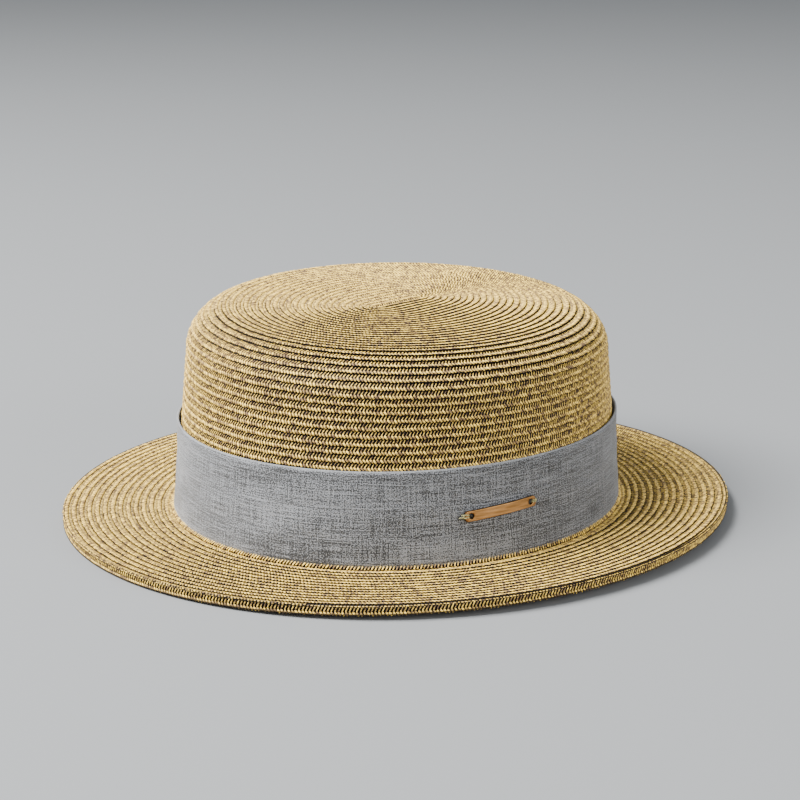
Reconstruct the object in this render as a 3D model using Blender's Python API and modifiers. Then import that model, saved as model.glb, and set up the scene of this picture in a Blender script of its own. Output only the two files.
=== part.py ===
"""Straw boater hat: oval crown, flat brim with a turned-down edge row, cloth band and metal bar.

The hat stands on its brim, crown up. The front of the head is towards -Y, the wearer's left is +X.
Metres, +Z up, origin on the surface that the hat stands on, under the middle of the crown.
"""

import math

import bmesh
import bpy

# Head hole, measured inside the crown at the brim
HEAD_WIDTH = 0.1675
HEAD_LENGTH = 0.1928

# Straw: two thicknesses of overlapped braid
STRAW_WALL = 0.002

# Crown, with heights above the brim's upper face
CROWN_HEIGHT = 0.0795
SHOULDER_RUN = 0.0172
SHOULDER_RISE = 0.0162
TIP_DOME = 0.002
SIDE_TAPER = 0.084
TIP_LEAN = 0.036
TIP_LEAN_TOWARDS = math.radians(-6)

# Brim and its turned-down row: a wall round the edge and a lip under the brim
BRIM_WIDTH = 0.044
EDGE_WALL = 0.002
EDGE_ROUND = 0.0012
LIP_WIDTH = 0.0075
LIP_WALL = 0.0013

# Lift of one stretch of the brim's edge off the surface
BRIM_LIFT = 0.0029
BRIM_LIFT_AT = math.radians(-5)
BRIM_LIFT_SPAN = math.radians(130)

# Cloth band
BAND_HEIGHT = 0.0346
BAND_WALL = 0.0009
BAND_RISE = 0.0009

# Metal bar on the band
BAR_LENGTH = 0.031
BAR_HEIGHT = 0.0041
BAR_WALL = 0.001
BAR_CORNER = 0.0014
BAR_BEVEL = 0.0003
BAR_HOLE_RADIUS = 0.00095
BAR_HOLE_INSET = 0.0026
BAR_UP_BAND = 0.51
BAR_AT = math.radians(-39.2)
BAR_TILT = math.radians(3)

# Clearance between neighbouring pieces
GAP = 0.0003

# Fineness of the faceted shells
ROUND_STEPS = 72
TIP_RINGS = 5
SHOULDER_RINGS = 7
BRIM_RINGS = 5
CORNER_STEPS = 3
BAR_CUTS = 12
MERGE = 0.00001

# Sizes worked out from those above
CROWN_RADIUS = HEAD_WIDTH / 2 + STRAW_WALL
OVAL_STRETCH = (HEAD_LENGTH - HEAD_WIDTH) / 2
BRIM_RADIUS = CROWN_RADIUS + BRIM_WIDTH
BRIM_TOP = STRAW_WALL + GAP + LIP_WALL
SHOULDER_FOOT = CROWN_HEIGHT - TIP_DOME - SHOULDER_RISE
BAND_TOP = BAND_RISE + BAND_HEIGHT
BAR_RISE = BAND_RISE + BAR_UP_BAND * BAND_HEIGHT


def make_collection(name):
    """A new collection under the scene for the hat's pieces."""
    collection = bpy.data.collections.new(name)
    bpy.context.scene.collection.children.link(collection)
    return collection


def make_material(name, colour, roughness, metallic=0.0):
    """A plain Principled material."""
    material = bpy.data.materials.new(name)
    material.use_nodes = True
    shader = material.node_tree.nodes["Principled BSDF"]
    shader.inputs["Base Color"].default_value = (*colour, 1.0)
    shader.inputs["Roughness"].default_value = roughness
    shader.inputs["Metallic"].default_value = metallic
    return material


def side_radius(rise):
    """Half the crown's outer width at a height above the brim's upper face."""
    return CROWN_RADIUS - SIDE_TAPER * rise


def arc(centre, run, rise, start, end, steps):
    """Points on a quarter of an ellipse in the section plane, both ends included."""
    points = []
    for step in range(steps + 1):
        angle = start + (end - start) * step / steps
        points.append((centre[0] + run * math.cos(angle), centre[1] + rise * math.sin(angle)))
    return points


def crown_section(offset):
    """One face of the crown's section, from the middle of the tip down to its foot.

    offset is how far the face lies inside the outer one. Heights are above the brim's upper face.
    """
    shoulder_foot_radius = side_radius(SHOULDER_FOOT)
    tip_radius = shoulder_foot_radius - SHOULDER_RUN
    points = []
    for ring in range(TIP_RINGS):
        share = ring / TIP_RINGS
        points.append((tip_radius * share, CROWN_HEIGHT - TIP_DOME * share**2 - offset))
    centre = (tip_radius, SHOULDER_FOOT)
    run, rise = SHOULDER_RUN - offset, SHOULDER_RISE - offset
    points += arc(centre, run, rise, math.pi / 2, 0, SHOULDER_RINGS)
    points.append((side_radius(BAND_TOP) - offset, BAND_TOP))
    points.append((side_radius(-STRAW_WALL) - offset, -STRAW_WALL))
    return points


def crown_profile():
    """The crown's closed section: down the outer face, round the foot and up the inner face."""
    return crown_section(0.0) + crown_section(STRAW_WALL)[::-1]


def brim_profile():
    """The brim's flat section, outer edge first, between the crown and the turned-down row."""
    outer = BRIM_RADIUS - EDGE_WALL - GAP
    inner = side_radius(0) + GAP
    shares = [ring / BRIM_RINGS for ring in range(BRIM_RINGS + 1)]
    top = [(inner + (outer - inner) * share, 0.0) for share in shares]
    underside = [(radius, -STRAW_WALL) for radius, _ in top]
    return top + underside[::-1]


def edge_profile():
    """The turned-down row: a rounded wall at the brim's edge and a flat lip under the brim."""
    lip_top = -STRAW_WALL - GAP
    lip_end = BRIM_RADIUS - LIP_WIDTH
    wall_inside = BRIM_RADIUS - EDGE_WALL
    fillet = min(EDGE_ROUND, 0.7 * EDGE_WALL)
    points = [(wall_inside, lip_top), (wall_inside, 0.0)]
    points += arc((BRIM_RADIUS - fillet, -fillet), fillet, fillet, math.pi / 2, 0, CORNER_STEPS)
    points += [(BRIM_RADIUS, -BRIM_TOP), (lip_end, -BRIM_TOP), (lip_end, lip_top)]
    return points


def band_profile():
    """The cloth band's section: a thin strip lying on the crown's sloping side."""
    inner_low = side_radius(BAND_RISE) + GAP
    inner_high = side_radius(BAND_TOP) + GAP
    return [
        (inner_high, BAND_TOP),
        (inner_high + BAND_WALL, BAND_TOP),
        (inner_low + BAND_WALL, BAND_RISE),
        (inner_low, BAND_RISE),
    ]


def turned_mesh(name, profile, closed):
    """Turns a section round Z with a Screw modifier and returns the finished mesh."""
    mesh = bpy.data.meshes.new(name + "_section")
    verts = [(radius, 0.0, height) for radius, height in profile]
    edges = [(index, index + 1) for index in range(len(verts) - 1)]
    if closed:
        edges.append((len(verts) - 1, 0))
    mesh.from_pydata(verts, edges, [])
    section = bpy.data.objects.new(name + "_section", mesh)
    bpy.context.scene.collection.objects.link(section)
    screw = section.modifiers.new("Turn", "SCREW")
    screw.axis = "Z"
    screw.angle = math.tau
    screw.steps = ROUND_STEPS
    screw.render_steps = ROUND_STEPS
    screw.use_merge_vertices = True
    screw.merge_threshold = MERGE
    depsgraph = bpy.context.evaluated_depsgraph_get()
    turned = bpy.data.meshes.new_from_object(section.evaluated_get(depsgraph))
    bpy.data.objects.remove(section, do_unlink=True)
    bpy.data.meshes.remove(mesh)
    turned.name = name
    return turned


def tip_drop(x, y, rise):
    """How far the crown's lean lowers a point: none at the band's top, all of it at the tip."""
    share = (rise - BAND_TOP) / (CROWN_HEIGHT - BAND_TOP)
    along = x * math.cos(TIP_LEAN_TOWARDS) + y * math.sin(TIP_LEAN_TOWARDS)
    return TIP_LEAN * max(0.0, share) * along


def brim_raise(radius, angle):
    """How far the brim's lifted side rises: nothing at the crown, all of it at the edge."""
    share = min(1.0, max(0.0, (radius - CROWN_RADIUS) / BRIM_WIDTH))
    turn = (angle - BRIM_LIFT_AT + math.pi) % math.tau - math.pi
    if abs(turn) >= BRIM_LIFT_SPAN:
        return 0.0
    return BRIM_LIFT * share**2 * math.cos(turn / BRIM_LIFT_SPAN * math.pi / 2) ** 2


def shape_to_head(mesh):
    """Stretches a turned shell to the head's oval, leans its tip and lifts its brim's one side."""
    for vert in mesh.vertices:
        x, y, rise = vert.co
        radius = math.hypot(x, y)
        if radius > MERGE:
            angle = math.atan2(y, x)
            y += OVAL_STRETCH * math.sin(angle)
            rise += brim_raise(radius, angle)
        vert.co = (x, y, rise - tip_drop(x, y, rise) + BRIM_TOP)
    mesh.update()


def add_shell(name, profile, closed, material, collection):
    """One turned and stretched piece of the hat as an object."""
    mesh = turned_mesh(name, profile, closed)
    shape_to_head(mesh)
    mesh.materials.append(material)
    mesh.shade_smooth()
    mesh.set_sharp_from_angle(angle=math.radians(40))
    piece = bpy.data.objects.new(name, mesh)
    collection.objects.link(piece)
    return piece


def add_circle(curve, centre, radius):
    """A round closed spline of four Bezier points."""
    spline = curve.splines.new("BEZIER")
    spline.bezier_points.add(3)
    handle = radius * 4 / 3 * math.tan(math.pi / 8)
    for index, point in enumerate(spline.bezier_points):
        angle = index * math.pi / 2
        out = (math.cos(angle), math.sin(angle))
        along = (-out[1], out[0])
        point.co = (centre + radius * out[0], radius * out[1], 0)
        point.handle_left = [c - handle * a for c, a in zip(point.co, (*along, 0))]
        point.handle_right = [c + handle * a for c, a in zip(point.co, (*along, 0))]
    spline.use_cyclic_u = True
    spline.resolution_u = CORNER_STEPS
    return spline


def add_rounded_plate(curve, length, height, corner):
    """A closed rectangular outline with rounded corners."""
    across, up = length / 2 - corner, height / 2 - corner
    centres = [(across, up), (-across, up), (-across, -up), (across, -up)]
    outline = []
    for index, centre in enumerate(centres):
        start = index * math.pi / 2
        outline += arc(centre, corner, corner, start, start + math.pi / 2, CORNER_STEPS)
    spline = curve.splines.new("POLY")
    spline.points.add(len(outline) - 1)
    for point, (x, y) in zip(spline.points, outline):
        point.co = (x, y, 0, 1)
    spline.use_cyclic_u = True
    return spline


def flat_bar_mesh():
    """The bar before it is bent: a flat plate with round corners, two holes and a bevel."""
    curve = bpy.data.curves.new("bar_outline", "CURVE")
    curve.dimensions = "2D"
    curve.fill_mode = "BOTH"
    bevel = min(BAR_BEVEL, 0.35 * BAR_WALL)
    curve.extrude = BAR_WALL / 2 - bevel
    curve.bevel_depth = bevel
    curve.bevel_resolution = 0
    curve.offset = -bevel
    add_rounded_plate(curve, BAR_LENGTH, BAR_HEIGHT, min(BAR_CORNER, 0.45 * BAR_HEIGHT))
    hole_at = BAR_LENGTH / 2 - BAR_HOLE_INSET
    for side in (-1, 1):
        add_circle(curve, side * hole_at, BAR_HOLE_RADIUS)
    outline = bpy.data.objects.new("bar_outline", curve)
    bpy.context.scene.collection.objects.link(outline)
    depsgraph = bpy.context.evaluated_depsgraph_get()
    mesh = bpy.data.meshes.new_from_object(outline.evaluated_get(depsgraph))
    bpy.data.objects.remove(outline, do_unlink=True)
    mesh.name = "metal_bar"
    return mesh


def cut_across(work, count, length):
    """Cuts a mesh across X at even stations, so that it can bend smoothly."""
    for cut in range(1, count):
        station = (cut / count - 0.5) * length
        geometry = work.verts[:] + work.edges[:] + work.faces[:]
        bmesh.ops.bisect_plane(
            work, geom=geometry, dist=MERGE, plane_co=(station, 0, 0), plane_no=(1, 0, 0)
        )


def band_point(angle, rise, proud):
    """A point on the band's outer face, pushed out by proud along the face's own normal."""
    radius = side_radius(rise) + GAP + BAND_WALL
    across, along = radius, radius + OVAL_STRETCH
    x, y = across * math.cos(angle), along * math.sin(angle)
    nx, ny = math.cos(angle) / across, math.sin(angle) / along
    size = math.hypot(nx, ny)
    lean = math.hypot(1.0, SIDE_TAPER)
    x += proud * nx / size / lean
    y += proud * ny / size / lean
    return x, y, rise + BRIM_TOP + proud * SIDE_TAPER / lean


def angle_along_band(distance):
    """The oval's angle at a distance along the band from the middle of the bar."""
    radius = side_radius(BAR_RISE) + GAP + BAND_WALL
    angle, steps = BAR_AT, 40
    for _ in range(steps):
        speed = math.hypot(radius * math.sin(angle), (radius + OVAL_STRETCH) * math.cos(angle))
        angle += distance / steps / speed
    return angle


def add_bar(material, collection):
    """The metal bar, bent to lie on the band with a small gap."""
    mesh = flat_bar_mesh()
    work = bmesh.new()
    work.from_mesh(mesh)
    bmesh.ops.remove_doubles(work, verts=work.verts, dist=MERGE)
    cut_across(work, BAR_CUTS, BAR_LENGTH)
    for vert in work.verts:
        x, y, out = vert.co
        along = x * math.cos(BAR_TILT) - y * math.sin(BAR_TILT)
        up = x * math.sin(BAR_TILT) + y * math.cos(BAR_TILT)
        vert.co = band_point(angle_along_band(along), BAR_RISE + up, GAP + BAR_WALL / 2 + out)
    bmesh.ops.recalc_face_normals(work, faces=work.faces)
    work.to_mesh(mesh)
    work.free()
    mesh.materials.append(material)
    mesh.shade_smooth()
    mesh.set_sharp_from_angle(angle=math.radians(30))
    bar = bpy.data.objects.new("metal_bar", mesh)
    collection.objects.link(bar)
    return bar


def clear_scene():
    """Removes whatever the file holds."""
    for old in list(bpy.data.objects):
        bpy.data.objects.remove(old, do_unlink=True)


def build_hat():
    """Models every piece of the hat."""
    clear_scene()
    hat = make_collection("straw_boater_hat")
    straw = make_material("straw_braid", (0.62, 0.46, 0.22), 0.6)
    cloth = make_material("band_cloth", (0.36, 0.36, 0.38), 0.9)
    metal = make_material("rose_gold_metal", (0.72, 0.46, 0.36), 0.3, 1.0)
    add_shell("crown", crown_profile(), False, straw, hat)
    add_shell("brim", brim_profile(), True, straw, hat)
    add_shell("brim_edge", edge_profile(), True, straw, hat)
    add_shell("hat_band", band_profile(), True, cloth, hat)
    add_bar(metal, hat)


build_hat()
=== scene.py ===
"""Looks of the straw boater hat: sewn braid laid row by row, a woven band and a small metal bar.

Metres, +Z up, the hat standing on its brim, the front of the head towards -Y.
"""

import math

import bmesh
import bpy
import numpy as np
from mathutils import Matrix, Vector


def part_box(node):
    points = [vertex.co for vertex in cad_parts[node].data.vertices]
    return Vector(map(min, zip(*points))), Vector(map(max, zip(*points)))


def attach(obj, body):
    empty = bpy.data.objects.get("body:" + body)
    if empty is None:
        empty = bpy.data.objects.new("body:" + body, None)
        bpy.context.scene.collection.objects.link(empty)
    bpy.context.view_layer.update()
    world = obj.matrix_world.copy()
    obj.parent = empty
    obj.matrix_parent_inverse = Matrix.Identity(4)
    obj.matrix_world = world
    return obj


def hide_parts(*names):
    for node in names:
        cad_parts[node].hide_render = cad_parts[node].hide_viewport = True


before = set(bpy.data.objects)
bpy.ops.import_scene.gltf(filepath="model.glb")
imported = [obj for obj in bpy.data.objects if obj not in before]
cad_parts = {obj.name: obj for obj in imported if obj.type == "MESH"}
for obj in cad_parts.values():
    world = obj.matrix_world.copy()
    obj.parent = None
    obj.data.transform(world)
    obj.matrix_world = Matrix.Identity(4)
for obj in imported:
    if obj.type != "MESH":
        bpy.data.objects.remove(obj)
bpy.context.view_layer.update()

MM = 0.001

# The hat's main sizes, read from the solids where their boxes give them
_, EDGE_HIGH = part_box("brim_edge")
BAND_LOW, BAND_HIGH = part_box("hat_band")
BRIM_RADIUS = EDGE_HIGH.x
OVAL_STRETCH = EDGE_HIGH.y - EDGE_HIGH.x
BRIM_WIDTH = 0.044
CROWN_RADIUS = BRIM_RADIUS - BRIM_WIDTH
BRIM_TOP = 0.0036
SIDE_TAPER = 0.084
BAND_FOOT = BAND_LOW.z - BRIM_TOP
BAND_TOP = BAND_HIGH.z - BRIM_TOP
BAND_GAP = 0.0003
BAND_WALL = 0.0009

# The crown's tip and shoulder; heights are above the brim's upper face
CROWN_HEIGHT = 0.0795
SHOULDER_RUN = 0.0172
SHOULDER_RISE = 0.0162
TIP_DOME = 0.002
TIP_LEAN = 0.036
TIP_LEAN_TOWARDS = math.radians(-6)
SECTION_POINTS = 60

# The brim's lifted side
BRIM_LIFT = 0.0029
BRIM_LIFT_AT = math.radians(-5)
BRIM_LIFT_SPAN = math.radians(130)

# The spiral's straight start, off the middle of the tip and a little turned
START_SHIFT = (0.0037, -0.0078)
START_TURN = math.radians(-20)
SPIRAL_START = 0.0004
START_FACING = -0.45
SETTLED_RADIUS = 0.045
SETTLED_PLACE = 0.066

# The braid: rows 3 mm apart, each one lying under the raised edge of the row before it
ROW_PITCH = 0.003
ROW_LIFT = 0.0005
BRIM_ROW_LIFT = 0.0003
STITCH = 0.00125
STITCH_SIZES = (0.88, 1.12)
BRAID_STEP = 0.0042
BRAID_STEP_TIP = 0.0009
BRAID_STEP_GROWTH = 0.12
BRAID_STEP_GROWS_FROM = 0.004
UNDER_BAND = 0.003
SEAM_AT = math.pi / 2
POINTS_PER_TURN = 720
SMALL_STEP = 0.00002
LOOK_AHEAD = 0.0002

# The rows that are rings: their turns, a little more than one, how deep they sink, and where they lie
RING_TURNS = 1.01
BRIM_RING_TURNS = 1.02
RING_SINK = 0.0003
FOOT_BEND = 0.0028
FOOT_ROW_AT = 0.45 * FOOT_BEND * math.pi / 2
BRIM_FIRST_ROW_AT = ROW_PITCH / 2 + 0.0004
BRIM_LAST_ROW_AT = BRIM_WIDTH - ROW_PITCH / 2
EDGE_ROW_AT = 0.0019
LIP_ROWS_AT = (0.0022, 0.0052)
LIP_SINK = 0.0005

# The map that a straw piece brings for its bake, and the margins in it
BAKE_MAP = "OFBake"
STRIP_SHAPE = 0.5
STRIP_MARGIN = 0.04
CELL_MARGIN = 0.06
STRAND_SHARE = 0.92

# The braid's section: how far across the row, how far out, and whether strands cover it (covered parts
# get painted shade), in mm
ROW_SECTION = (
    (-2.3, 0.1, 1), (-1.3, -0.1, 1), (0.0, -0.05, 1), (0.9, 0.1, 1), (1.35, 0.12, 1),
    (1.5, -0.05, 1), (1.42, -0.4, 1), (1.36, -0.46, 0), (-0.4, -0.5, 0), (-2.3, -0.3, 0),
)

# Each stitch's strands in mm: start and end (along and up the row), width, foot, height at each end
STITCHES = {
    "tip": (
        ((-0.5, -0.1), (0.48, 1.32), 0.46, -0.3, (0.2, 0.06)),
        ((-0.6, 0.15), (0.66, -1.5), 0.98, -0.25, (0.24, 0.28)),
    ),
    "side": (
        ((-0.5, -0.35), (0.48, 1.34), 0.4, -0.3, (0.2, 0.06)),
        ((-0.55, -0.05), (0.6, -1.46), 0.94, -0.25, (0.22, 0.26)),
    ),
    "brim": (
        ((-0.5, -0.25), (0.48, 1.34), 0.36, -0.3, (0.1, 0.0)),
        ((-0.58, -0.05), (0.7, -1.75), 1.0, -0.25, (0.28, 0.26)),
    ),
    "edge": (
        ((-0.5, -0.35), (0.5, 1.85), 0.54, -0.3, (0.28, 0.34)),
        ((-0.5, -0.1), (0.5, -1.45), 0.94, -0.25, (0.24, 0.24)),
    ),
    "foot": (
        ((-0.5, -1.65), (0.42, 0.3), 0.6, -0.1, (0.8, 0.5)),
    ),
}

# A strand's stations: share along it, share of its width, share of its height, how lit it is painted
# (painted shade at its ends, where it dives into the braid)
STRAND_STATIONS = ((0.0, 0, 0.5, 0.55), (0.16, 1, 1, 1), (0.88, 1, 1, 0.95), (1.0, 0, 0.3, 0.45))

# A strand's section: share of its half width, and whether the corner is at its top; corners at its foot
# are painted in shade
STRAND_CORNERS = ((1, 0), (0.6, 1), (-0.6, 1), (-1, 0))

# The range of a noise's values, nearly whole and without its tails
NOISE_SPREAD = (0.3, 0.7)
NOISE_BODY = (0.35, 0.65)

# Straw colours, outside and on the braid's inner face; Shade is the painted shade colour for gaps,
# strands' sides and tucked edges
STRAW_COLOURS = {
    "Shade": (0.004, 0.0022, 0.0008, 1),
    "Middle": (0.145, 0.088, 0.045, 1),
    "Light": (1.0, 0.665, 0.125, 1),
    "Rust": (0.42, 0.21, 0.07, 1),
}
# The inner face's colours are lighter and paler than the outside's: painted light for the dim light that
# reaches it
INSIDE_PAINTED_LIGHT_COLOURS = {
    "Shade": (0.03, 0.019, 0.008, 1),
    "Middle": (0.36, 0.25, 0.11, 1),
    "Light": (0.95, 0.72, 0.38, 1),
    "Rust": (0.5, 0.3, 0.13, 1),
}

# Straw's patterns, in waves to the metre, its gloss, and its bumps' strength and depth
STRAW_CLOUDS = 90.0
STRAW_FLECKS = 1000.0
STRAW_RUST = 210.0
STRAND_GLOSS = 0.2
STRAND_BUMP = (0.3, 0.0001)
BRAID_GLOSS = 0.1
BRAID_BUMP = (0.8, 0.0002)

# The chevrons on bare braid: their middle, in mm across the row, and how many stitches they lean a mm
CHEVRON_MIDDLE = -0.1
CHEVRON_LEAN = 0.75

# The band: its mesh, and how it stands off the crown
BAND_COLUMNS = 720
BAND_ROWS = 24
BAND_INNER_STEP = 4
BAND_ROLL = 0.006
BAND_FLARE = 0.0011
BAND_FLARE_AT = 0.3959
BAND_HEM = 0.0014
BAND_HEM_PROUD = 0.00006
BAND_CREASE = 0.0001
BAND_CREASES = 2.6
BAND_SLACK = 0.0001

# The band's cloth: colours, patterns in waves to the metre (along, up and through it), sheen and bump
CLOTH_DARK = (0.003, 0.003, 0.003, 1)
CLOTH_LIGHT = (0.17, 0.175, 0.185, 1)
CLOTH_FOLD = (0.2, 0.204, 0.214, 1)
CLOTH_WEFT = (60.0, 1900.0, 1.0)
CLOTH_WARP = (1900.0, 90.0, 1.0)
CLOTH_CLOUDS = (18.0, 60.0, 1.0)
CLOTH_SALT = 2200.0
CLOTH_SHEEN = {"Sheen Weight": 0.25, "Sheen Roughness": 0.5}
CLOTH_BUMP = (0.5, 0.0002)

# The bar and its place on the band
BAR_LENGTH = 0.031
BAR_HEIGHT = 0.0041
BAR_WALL = 0.001
BAR_CORNER = 0.0014
BAR_BEVEL = 0.0003
BAR_HOLE_RADIUS = 0.00095
BAR_HOLE_INSET = 0.0026
BAR_RISE = BAND_FOOT + 0.51 * (BAND_TOP - BAND_FOOT)
BAR_AT = math.radians(-39.2)
BAR_TILT = math.radians(3)
BAR_BENDS = 20
CORNER_STEPS = 8
HOLE_STEPS = 28
BEVEL_STEPS = 2
SAME_PLACE = 0.00001
SHARP_ANGLE = math.radians(35)

# The bar's metal, with the painted shade colour for its bevels, sides and hole walls
METAL_DARK = (0.22, 0.11, 0.035, 1)
METAL_LIGHT = (0.40, 0.21, 0.08, 1)
METAL_PAINTED_SHADE = (0.045, 0.02, 0.006, 1)
METAL_BRUSHING = (120.0, 120.0, 1500.0)
METAL_GRAIN = 2600.0
METAL_BUMP = (0.25, 0.00005)

# The threads' runs in mm: along the bar, up it, out from the band
THREAD_RUNS = (
    ((-13.6, 0.3, 0.3), (-13.8, 0.5, 1.5), (-14.8, 0.7, 1.65), (-15.8, 0.75, 1.3), (-16.2, 0.6, 0.1)),
    ((-13.6, -0.2, 0.3), (-13.9, -0.25, 1.4), (-14.9, -0.3, 1.6), (-15.8, -0.4, 1.3), (-16.2, -0.5, 0.1)),
    ((-15.6, 0.1, 1.1), (-16.4, 0.1, 1.2), (-17.6, -0.2, 0.9)),
    ((13.5, 0.2, 0.3), (13.8, 0.3, 1.4), (14.8, 0.35, 1.62), (15.8, 0.3, 1.3), (16.1, 0.2, 0.1)),
    ((13.5, -0.3, 0.3), (13.8, -0.3, 1.3), (14.9, -0.25, 1.55), (15.7, -0.2, 1.2), (16.0, -0.3, 0.1)),
)
THREAD_RADIUS = 0.00026
THREAD_STEPS = 6
# Dark thread knots in the bar's holes, put there as painted shade for the holes' depth; their runs in mm
# as above
HOLE_SHADE_KNOT_RUNS = (
    ((-13.5, 0.35, 0.5), (-13.1, -0.1, 0.85), (-12.7, 0.3, 0.8), (-12.4, -0.3, 0.5)),
    ((-13.3, -0.45, 0.5), (-12.9, -0.1, 0.75), (-12.5, -0.35, 0.6), (-12.35, 0.35, 0.5)),
    ((13.4, 0.4, 0.5), (13.0, -0.1, 0.85), (12.7, 0.3, 0.8), (12.4, -0.3, 0.5)),
    ((13.3, -0.45, 0.5), (12.9, -0.1, 0.75), (12.5, -0.35, 0.6), (12.35, 0.35, 0.5)),
)
HOLE_SHADE_KNOT_RADIUS = 0.0004
THREAD_FUZZ = 2500.0
THREAD_BUMP = (0.6, 0.0002)
OLIVE_COLOURS = ((0.05, 0.045, 0.02, 1), (0.42, 0.38, 0.16, 1))
# The knots' thread is nearly black: painted shade in the holes
HOLE_SHADE_THREAD_COLOURS = ((0.002, 0.002, 0.0015, 1), (0.02, 0.017, 0.01, 1))

# Camera
CAMERA_DISTANCE = 0.87911
CAMERA_AZIMUTH = 0.3959
CAMERA_ELEVATION = 0.29673
CAMERA_PITCH = 0.04578
CAMERA_YAW = 0.00046
CAMERA_ROLL = 0.00544
CAMERA_LENS = 98.31
SENSOR_WIDTH = 36.0

# Studio: each light's name, place (to the camera's right, away from it, up), size and power
LIGHTS = (
    ("key", (-1.55, -0.42, 1.93), 1.6, 346),
    ("fill", (1.7, -1.0, 0.7), 1.2, 38),
    ("front", (-0.3, -2.2, 0.6), 1.4, 15),
)
SKY_COLOUR = (0.9, 0.95, 1.0, 1)
SKY_STRENGTH = 0.6
FLOOR_COLOUR = (0.162, 0.167, 0.17, 1)
FLOOR_ROUGHNESS = 0.9
FLOOR_REACH = 8.0


def side_radius(rise):
    """Half the crown's outer width at a height above the brim's upper face."""
    return CROWN_RADIUS - SIDE_TAPER * rise


def oval(radius, facing):
    """Points of the hat's ovals.

    radius is half the oval's width and facing the way its edge looks there. The rows at the
    tip's middle run round a straight start, off the middle, and open into the head's oval.
    """
    early = np.clip(1 - radius / SETTLED_PLACE, 0, 1)
    turned = START_TURN * early
    facing = facing - turned
    power = 1 + np.clip(radius / SETTLED_RADIUS, 0, 1)
    sine = np.sin(facing)
    reach = radius + OVAL_STRETCH * np.abs(sine) ** power
    turn = OVAL_STRETCH * power * np.abs(sine) ** (power - 1) * np.sign(sine) * np.cos(facing)
    x = reach * np.cos(facing) - turn * sine
    y = reach * sine + turn * np.cos(facing)
    shift_x, shift_y = START_SHIFT
    return (
        x * np.cos(turned) - y * np.sin(turned) + shift_x * early,
        x * np.sin(turned) + y * np.cos(turned) + shift_y * early,
    )


def tip_drop(x, y, rise):
    """How far the crown's lean lowers a point."""
    share = np.maximum(0.0, (rise - BAND_TOP) / (CROWN_HEIGHT - BAND_TOP))
    return TIP_LEAN * share * (x * math.cos(TIP_LEAN_TOWARDS) + y * math.sin(TIP_LEAN_TOWARDS))


def brim_raise(radius, facing):
    """How far the brim's lifted side rises."""
    share = np.clip((radius - CROWN_RADIUS) / BRIM_WIDTH, 0, 1)
    turn = (facing - BRIM_LIFT_AT + math.pi) % math.tau - math.pi
    wave = np.cos(np.clip(turn / BRIM_LIFT_SPAN, -1, 1) * math.pi / 2) ** 2
    return BRIM_LIFT * share**2 * wave


def crown_section():
    """The crown's outer face from the middle of the tip down: depth along it, radius and rise."""
    foot = CROWN_HEIGHT - TIP_DOME - SHOULDER_RISE
    tip_radius = side_radius(foot) - SHOULDER_RUN
    share = np.linspace(0, 1, SECTION_POINTS)
    angle = np.linspace(math.pi / 2, 0, SECTION_POINTS)[1:]
    down = np.linspace(foot, 0, SECTION_POINTS)[1:]
    shoulder_radius = tip_radius + SHOULDER_RUN * np.cos(angle)
    shoulder_rise = foot + SHOULDER_RISE * np.sin(angle)
    radius = np.concatenate([tip_radius * share, shoulder_radius, side_radius(down)])
    rise = np.concatenate([CROWN_HEIGHT - TIP_DOME * share**2, shoulder_rise, down])
    depth = np.concatenate([[0], np.cumsum(np.hypot(np.diff(radius), np.diff(rise)))])
    return depth, radius, rise


SECTION_DEPTH, SECTION_RADIUS, SECTION_RISE = crown_section()
CROWN_DEPTH = SECTION_DEPTH[-1]


def crown_face(depth, facing):
    """Points of the crown's outer face, by the depth down from the middle of the tip."""
    radius = np.interp(depth, SECTION_DEPTH, SECTION_RADIUS)
    rise = np.interp(depth, SECTION_DEPTH, SECTION_RISE)
    x, y = oval(radius, facing)
    return np.stack([x, y, rise - tip_drop(x, y, rise) + BRIM_TOP], -1)


def brim_face(depth, facing):
    """Points of the brim's upper face, by the distance out from the crown's foot."""
    x, y = oval(CROWN_RADIUS + depth, facing)
    return np.stack([x, y, BRIM_TOP + brim_raise(CROWN_RADIUS + depth, facing)], -1)


def edge_face(depth, facing):
    """Points of the wall round the brim's edge, by the distance down from its top."""
    x, y = oval(np.full_like(facing, BRIM_RADIUS), facing)
    return np.stack([x, y, BRIM_TOP - depth + brim_raise(BRIM_RADIUS, facing)], -1)


def lip_face(depth, facing):
    """Points of the lip's lower face, by the distance in from the brim's edge."""
    radius = BRIM_RADIUS - depth
    x, y = oval(radius, facing)
    return np.stack([x, y, brim_raise(radius, facing)], -1)


def foot_face(depth, facing):
    """Points of the bend between the crown's side and the brim."""
    angle = depth / FOOT_BEND
    radius = CROWN_RADIUS + FOOT_BEND * (1 - np.cos(angle))
    x, y = oval(radius, facing)
    return np.stack([x, y, BRIM_TOP + FOOT_BEND * (1 - np.sin(angle))], -1)


def unit(vectors):
    """Vectors made one long."""
    return vectors / np.linalg.norm(vectors, axis=-1, keepdims=True)


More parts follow.
